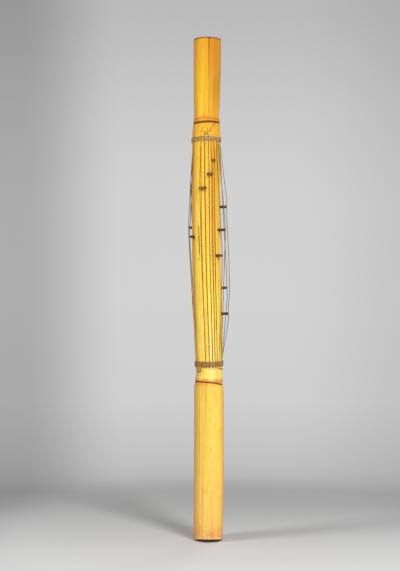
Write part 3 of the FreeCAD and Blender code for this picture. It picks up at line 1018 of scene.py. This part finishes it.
def cordTree():
    tree, graph, given = newTree("twistedCord", {
        "Radius": ("Float", 0.0011), "Ply Radius": ("Float", 0.0005),
        "Plies": ("Int", 3), "Twist": ("Float", 0.01),
        "Step": ("Float", 0.001), "Uneven": ("Float", 0.0001), "Hair Density": ("Float", 10000.0),
        "Hair Length": ("Float", 0.004), "Seed": ("Int", 1), "Material": ("Material", None)})
    line = lineOf(graph, given)
    copies = graph.add("GeometryNodeDuplicateElements", {"domain": "SPLINE"},
                       {"Geometry": line, "Amount": given.output("Plies")})
    way = graph.add("GeometryNodeInputTangent")
    normal = graph.add("GeometryNodeInputNormal")
    binormal = graph.add("ShaderNodeVectorMath", {"operation": "CROSS_PRODUCT"}, {0: way, 1: normal})
    length = graph.add("GeometryNodeSplineParameter", out="Length")
    place = graph.add("GeometryNodeInputPosition")
    uneven = graph.grain(place, (120.0, 120.0, 300.0), 2.0) - 0.5
    phase = copies.output("Duplicate Index") * (2 * math.pi) / given.output("Plies")
    turn = length * (2 * math.pi) / given.output("Twist") + phase + uneven * 1.6
    arm = given.output("Radius") - given.output("Ply Radius")
    up = graph.scaled(normal, turn.math("COSINE") * arm + uneven * given.output("Uneven"))
    over = graph.scaled(binormal, turn.math("SINE") * arm)
    shift = graph.add("ShaderNodeVectorMath", {"operation": "ADD"}, {0: up, 1: over})
    plies = graph.add("GeometryNodeSetPosition", None, {"Geometry": copies, "Offset": shift})
    ring = graph.add("GeometryNodeCurvePrimitiveCircle", {"mode": "RADIUS"},
                     {"Resolution": 7, "Radius": given.output("Ply Radius")})
    body = graph.swept(plies, ring)
    bumps = graph.grain(place, (900.0, 900.0, 900.0), 2.0) - 0.5
    push = graph.scaled(graph.add("GeometryNodeInputNormal"), bumps * given.output("Uneven") * 1.5)
    body = graph.add("GeometryNodeSetPosition", None, {"Geometry": body, "Offset": push})
    body = graph.add("GeometryNodeSetShadeSmooth", None, {"Geometry": body, "Shade Smooth": True})

    spots = graph.add("GeometryNodeDistributePointsOnFaces", {"distribute_method": "RANDOM"},
                      {"Mesh": body, "Density": given.output("Hair Density"), "Seed": given.output("Seed")})
    reach = given.output("Hair Length")
    tip = graph.add("ShaderNodeCombineXYZ", None, {"X": reach, "Y": 0.0, "Z": reach * 0.28})
    bend = graph.add("ShaderNodeCombineXYZ", None, {"X": reach * 0.5, "Y": reach * 0.15, "Z": reach * 0.02})
    hair = graph.add("GeometryNodeCurveQuadraticBezier", None,
                     {"Resolution": 4, "Start": (0.0, 0.0, 0.0), "Middle": bend, "End": tip})
    thin = graph.add("GeometryNodeCurvePrimitiveCircle", {"mode": "RADIUS"},
                     {"Resolution": 3, "Radius": 0.00007})
    hair = graph.swept(hair, thin)
    spin = graph.add("FunctionNodeRandomValue", {"data_type": "FLOAT"},
                     {"Min_001": 0.0, "Max_001": 6.283, "Seed": given.output("Seed")}, "Value_001")
    turned = graph.add("FunctionNodeRotateRotation", {"rotation_space": "LOCAL"},
                       {"Rotation": spots.output("Rotation"),
                        "Rotate By": graph.add("FunctionNodeAxisAngleToRotation", None,
                                               {"Axis": (0.0, 0.0, 1.0), "Angle": spin})})
    size = graph.add("FunctionNodeRandomValue", {"data_type": "FLOAT"},
                     {"Min_001": 0.4, "Max_001": 1.0, "Seed": given.output("Seed")}, "Value_001")
    hairs = graph.add("GeometryNodeInstanceOnPoints", None,
                      {"Points": spots, "Instance": hair, "Rotation": turned, "Scale": size})
    both = graph.tree.nodes.new("GeometryNodeJoinGeometry")
    graph.tree.links.new(body.socket, both.inputs[0])
    graph.tree.links.new(hairs.socket, both.inputs[0])
    endTree(graph, Value(graph, both, both.outputs[0]), given.output("Material"))
    return tree


def fibreCord(name, light, dark, dusty, edge, way):
    material, graph, place = newMaterial(name)
    strand = graph.grain(place, (2200.0, 2200.0, 2600.0), 3.0, 0.65)
    worn = graph.grain(place, (180.0, 180.0, 420.0), 3.0)
    base = strand.rise(0.3, 0.7).mix(colour(*dark), colour(*light))
    base = (worn.rise(0.45, 0.7) * 0.6).mix(base, colour(*dusty))
    height = graph.parts(place).output("Z") * 1000.0
    loose = ((height - edge) * way).rise(0.3, 1.5)
    base = (loose * 0.62).mix(base, colour(62, 34, 12))
    finishMaterial(graph, base, 0.7 + strand * 0.15, strand, 0.0004)
    return material


def cordPiece(name, points, node, material, cordRadius, look, seed):
    piece = pathPiece(name, points)
    plyShare = {2: 0.56, 3: 0.5}[look["plies"]]
    grow(piece, cordGrow, {"Radius": cordRadius * mm, "Ply Radius": cordRadius * plyShare * mm,
                           "Plies": look["plies"], "Twist": look["twist"] * mm, "Step": 1.3 * mm,
                           "Uneven": 0.25 * mm, "Hair Density": 9000.0 * look["hairs"],
                           "Hair Length": 3.4 * mm, "Seed": seed, "Material": material})
    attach(piece, "root")
    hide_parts(node)
    return piece


def windingPath(place):
    turns, start = place["turns"], place["start"]
    pitch = bindingLook["pitch"]
    heights = [start] + [row[0] for row in stations if start < row[0] < start + turns * pitch]
    heights += [start + turns * pitch]
    reach = max(tubeAt(z)[0] for z in heights) + bindingLook["gap"] + bindingLook["cord"] / 2
    lean = tubeAt(start + turns * pitch / 2)[1]
    points = []
    for step in range(-1, turns * 60 + 2):
        turn = step / 60
        points.append(Vector((lean, 0, start + turn * pitch)) + outward(180 + 360 * turn) * reach)
    return points


def roundedPath(corners, edge):
    points = [onSkin(angle, edge + past, bindingLook["tailGap"] + bindingLook["tailCord"] / 2)
              for angle, past in corners]
    padded = [points[0] * 2 - points[1]] + points + [points[-1] * 2 - points[-2]]
    path = []
    for a, b, c, d in zip(padded, padded[1:], padded[2:], padded[3:]):
        for step in range(12):
            t = step / 12
            path.append(0.5 * ((2 * b) + (c - a) * t + (2 * a - 5 * b + 4 * c - d) * t * t
                               + (3 * b - a - 3 * c + d) * t * t * t))
    path.append(points[-1])
    return path


cordGrow = cordTree()
lowerPlace, upperPlace = bindingLook["lower"], bindingLook["upper"]
cordHalf = bindingLook["cord"] / 2
upperEdge = upperPlace["start"] + upperPlace["turns"] * bindingLook["pitch"] + cordHalf
lowerEdge = lowerPlace["start"] - cordHalf
upperFibre = fibreCord("upperFibre", (222, 184, 116), (140, 102, 56), (236, 206, 150), upperEdge, 1.0)
lowerFibre = fibreCord("lowerFibre", (204, 150, 88), (116, 74, 36), (222, 180, 122), lowerEdge, -1.0)
cordPiece("wound_lower", windingPath(lowerPlace), "lower_binding", lowerFibre, cordHalf, lowerPlace,
          3)
cordPiece("wound_upper", windingPath(upperPlace), "upper_binding", upperFibre, cordHalf, upperPlace,
          5)
tailHalf = bindingLook["tailCord"] / 2
for name, route, edge, node, fibre, look, slot, seed in (
        ("end_upper", "upperTail", upperEdge, "upper_tail", upperFibre, upperPlace, "upper_fibre", 7),
        ("end_loop", "lowerLoop", lowerEdge, "lower_loop", lowerFibre, lowerPlace, "lower_fibre", 9),
        ("end_lower", "lowerTail", lowerEdge, "lower_tail", lowerFibre, lowerPlace, "lower_fibre", 11)):
    cordPiece(name, roundedPath(bindingLook[route], edge), node, fibre, tailHalf, look, seed)
print("bindings done")


# Studio: floor, background, lamps and camera

studio = {
    "floorRadius": 0.95,
    "floorFade": (0.40, 0.85),
    # share of the way from front to back, and the floor's grey there, darker towards the back as painted
    # fall-off of the light
    "floorGreys": [(0.0, 208), (0.30, 207), (0.42, 203), (0.5, 196), (0.62, 190), (0.80, 178), (1.0, 176)],
    # elevation of the line of sight in degrees, and the grey seen there, with painted shade darker at the
    # horizon and towards the top
    "greys": [(-90, 206), (-16, 210), (-15.4, 210), (-14.4, 202), (-13.8, 190), (-12.9, 181), (-12.2, 172),
              (-11.5, 163), (-10.8, 181), (-9.7, 193), (-6.4, 207), (-0.8, 211), (4.8, 210), (9.2, 203),
              (14.8, 187), (40, 176), (90, 170)],
    "ambient": 0.26,
    "key": {"azimuth": 32, "elevation": 27, "distance": 2.5, "wide": 0.8, "tall": 1.7, "level": 0.98},
    "strip": {"azimuth": 34, "elevation": -7, "distance": 2.2, "wide": 0.3, "tall": 0.6, "level": 0.14},
    "fill": {"azimuth": -70, "elevation": 26, "distance": 2.4, "wide": 0.6, "tall": 0.8, "level": 0.54},
    "rim": {"azimuth": 150, "elevation": 40, "distance": 2.6, "wide": 1.0, "tall": 1.0, "level": 0.12},
}


def makeLamp(name, look):
    turn, rise = math.radians(look["azimuth"]), math.radians(look["elevation"])
    way = Vector((math.sin(turn) * math.cos(rise), -math.cos(turn) * math.cos(rise), math.sin(rise)))
    lamp = bpy.data.lights.new(name, "AREA")
    lamp.shape = "RECTANGLE"
    lamp.size = look["wide"]
    lamp.size_y = look["tall"]
    lamp.energy = look["level"] * math.pi ** 2 * look["distance"] ** 2
    holder = bpy.data.objects.new(name, lamp)
    holder.location = Vector((0, 0, 0.55)) + way * look["distance"]
    holder.rotation_euler = way.to_track_quat("Z", "Y").to_euler()
    holder.visible_glossy = name.startswith("strip")     # the low strip alone shows as gloss
    bpy.context.scene.collection.objects.link(holder)


for lampName in ("key", "strip", "fill", "rim"):
    makeLamp(lampName + "_lamp", studio[lampName])

world = bpy.data.worlds.new("studio")
bpy.context.scene.world = world
world.use_nodes = True
world.node_tree.nodes.clear()
sky = Graph(world.node_tree)
ray = sky.add("ShaderNodeTexCoord", out="Generated")
rayParts = sky.parts(ray)
climb = rayParts.output("Z").math("ARCSINE") * (180 / math.pi)
greyStops = [((angle + 90) / 180, colour(grey, grey, grey)) for angle, grey in studio["greys"]]
backdrop = sky.add("ShaderNodeValToRGB", {"stops": greyStops}, {"Fac": (climb + 90) / 180})
# painted shade darkening the backdrop towards the left and the right
leftward = (-rayParts).rise(0.07, 0.17) * (1 - (-rayParts).rise(0.25, 0.6))
rightward = rayParts.rise(0.08, 0.22) * (1 - rayParts.rise(0.3, 0.6))
backdrop = (leftward * 0.36 + rightward * 0.15).mix(backdrop, (0.0, 0.0, 0.0, 1.0))
path = sky.add("ShaderNodeLightPath", out="Is Camera Ray")
seen = path.math("MAXIMUM", path.output("Is Glossy Ray"))
seen = seen.math("MAXIMUM", path.output("Is Transmission Ray"))
ambient = studio["ambient"]
tint = seen.mix((ambient, ambient, ambient, 1.0), backdrop)
glow = sky.add("ShaderNodeBackground", None, {"Color": tint, "Strength": 1.0})
worldOut = world.node_tree.nodes.new("ShaderNodeOutputWorld")
world.node_tree.links.new(glow.socket, worldOut.inputs["Surface"])


def makeFloor():
    work = bmesh.new()
    bmesh.ops.create_circle(work, cap_ends=True, segments=96, radius=studio["floorRadius"])
    bmesh.ops.translate(work, verts=work.verts, vec=(0, 0, -0.0003))
    mesh = bpy.data.meshes.new("floor")
    work.to_mesh(mesh)
    work.free()
    floor = newPiece("floor", mesh)
    material, graph, place = newMaterial("paleFloor")
    parts = graph.parts(place)
    stops = [(share, colour(grey, grey, grey)) for share, grey in studio["floorGreys"]]
    base = graph.add("ShaderNodeValToRGB", {"stops": stops}, {"Fac": parts.output("Y") / 1.2 + 0.5})
    away = graph.add("ShaderNodeVectorMath", {"operation": "LENGTH"}, {0: place}, "Value")
    shader = graph.add("ShaderNodeBsdfDiffuse", None, {"Color": base})
    clear = graph.add("ShaderNodeBsdfTransparent")
    fade = away.rise(*studio["floorFade"])
    both = graph.add("ShaderNodeMixShader", None, {"Fac": fade, 1: shader, 2: clear})
    output = graph.tree.nodes.new("ShaderNodeOutputMaterial")
    graph.tree.links.new(both.socket, output.inputs["Surface"])
    mesh.materials.append(material)


makeFloor()

cameraData = bpy.data.cameras.new("camera")
cameraData.lens = 64.85
cameraData.sensor_width = 36.0
camera = bpy.data.objects.new("camera", cameraData)
camera.location = (-0.0197, -2.369, 0.584)
camera.rotation_euler = (math.radians(90), 0, 0)
bpy.context.scene.collection.objects.link(camera)
bpy.context.scene.camera = camera
bpy.context.scene.view_settings.view_transform = "Standard"
print("studio done")
